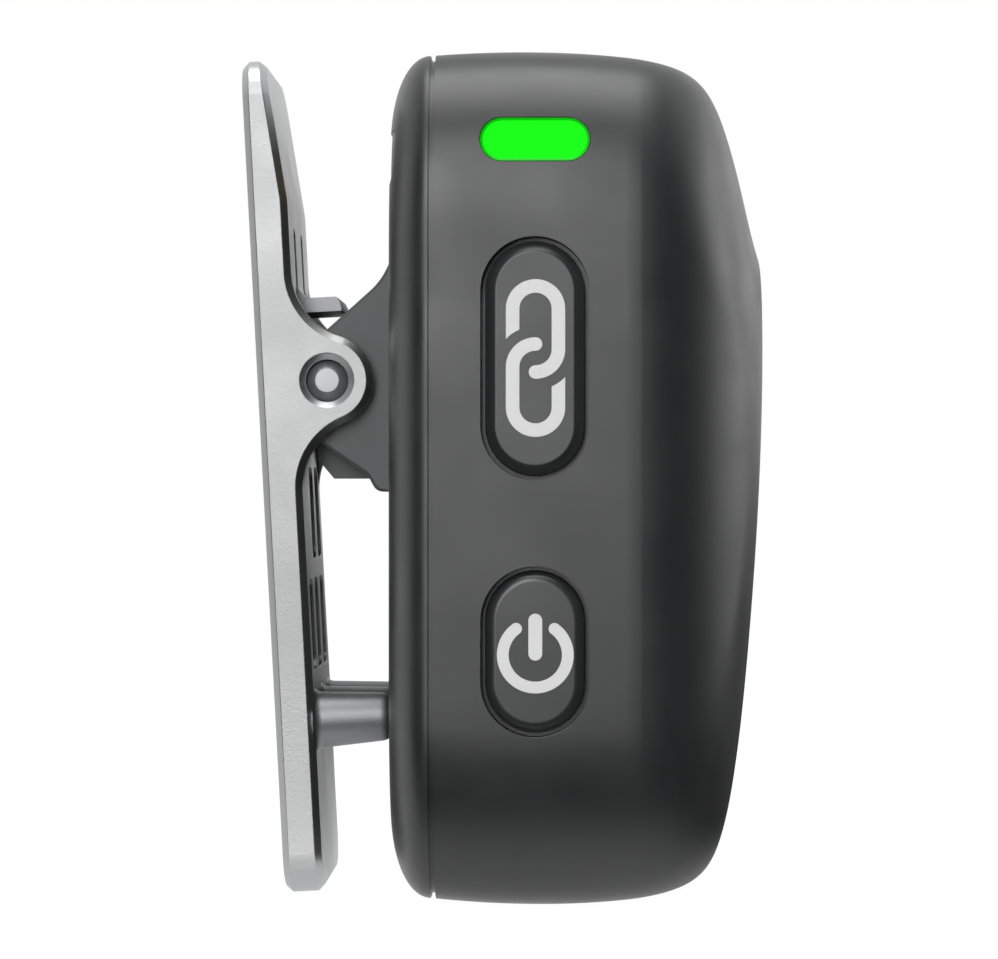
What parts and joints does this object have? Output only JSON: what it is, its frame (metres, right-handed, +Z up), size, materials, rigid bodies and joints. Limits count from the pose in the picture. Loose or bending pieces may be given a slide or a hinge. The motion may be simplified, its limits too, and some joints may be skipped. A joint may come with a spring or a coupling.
{
  "type": "clip-on wireless lavalier microphone",
  "caption": "Clip-on wireless lavalier microphone in a moulded housing with a side status light, two side buttons, a jack and a sprung die-cast clip.",
  "frame": {"origin": "middle of the footprint of the whole object, in the plane of the lowest point of the housing", "axes": "+X from the clip lever to the front of the housing, +Y away from the side with the buttons and the light, +Z up towards the jack and the microphone grille"},
  "size_m": [0.0274, 0.03, 0.0439],
  "materials": {
    "shell_plastic": "fine spark-eroded texture, satin charcoal",
    "key_plastic": "satin charcoal",
    "inlay_plastic": "polished black",
    "contact_gold": "gold plated",
    "board_green": "solder mask over glass laminate",
    "lead_red": "insulated wire",
    "plunger_white": "moulded",
    "switch_black": "moulded",
    "lamp_green": "clear light guide, lit green",
    "led_white": "phosphor cap",
    "tin_plate": "tin-plated steel sheet",
    "screw_steel": "plain steel",
    "socket_black": "moulded",
    "ceramic": "fired ceramic",
    "capsule_metal": "drawn can",
    "boot_rubber": "soft moulding",
    "cell_foil": "aluminium laminate pouch",
    "foam_pad": "closed-cell foam tape",
    "bracket_paint": "satin charcoal coat on die-cast zinc",
    "clip_cast": "bead-blasted die casting",
    "pin_steel": "ground steel",
    "spring_steel": "drawn spring wire"
  },
  "bodies": {
    "housing": {"front_shell": "shell_plastic", "back_cover": "shell_plastic", "contact_plate": "inlay_plastic", "charge_contacts": "contact_gold", "contact_board": "board_green", "contact_leads": "lead_red", "link_switch": "switch_black", "power_switch": "switch_black", "button_board": "board_green", "led_window": "lamp_green", "led_chip": "led_white", "main_board": "board_green", "board_screws": "screw_steel", "board_header": "switch_black", "shield_can": "tin_plate", "chip_antenna": "ceramic", "usb_c_shell": "tin_plate", "usb_c_tongue": "socket_black", "jack_socket": "socket_black", "jack_collar": "key_plastic", "mic_grille": "key_plastic", "mic_boot": "boot_rubber", "mic_capsule": "capsule_metal", "battery": "cell_foil", "battery_pad": "foam_pad", "battery_board": "board_green", "battery_leads": "lead_red", "clip_bracket": "bracket_paint", "bracket_screws": "screw_steel", "clip_pin": "pin_steel", "clip_spring": "spring_steel"},
    "lever": {"clip_lever": "clip_cast"},
    "link_key": {"link_button": "key_plastic", "link_plunger": "plunger_white"},
    "power_key": {"power_button": "key_plastic", "power_plunger": "plunger_white"}
  },
  "joints": [
    {"name": "clip_hinge", "type": "hinge", "parent": "housing", "child": "lever", "pos_m": [-0.00918, 0, 0.02701], "axis": [0, 1, 0], "range_deg": [0, 20], "stiffness_Nm_per_rad": 0.15, "springref_deg": -34.38, "deforming": ["clip_spring"]},
    {"name": "link_button_slide", "type": "slide", "parent": "housing", "child": "link_key", "axis": [0, 1, 0], "range_m": [0, 0.0003], "stiffness_N_per_m": 2000},
    {"name": "power_button_slide", "type": "slide", "parent": "housing", "child": "power_key", "axis": [0, 1, 0], "range_m": [0, 0.0003], "stiffness_N_per_m": 2000}
  ]
}
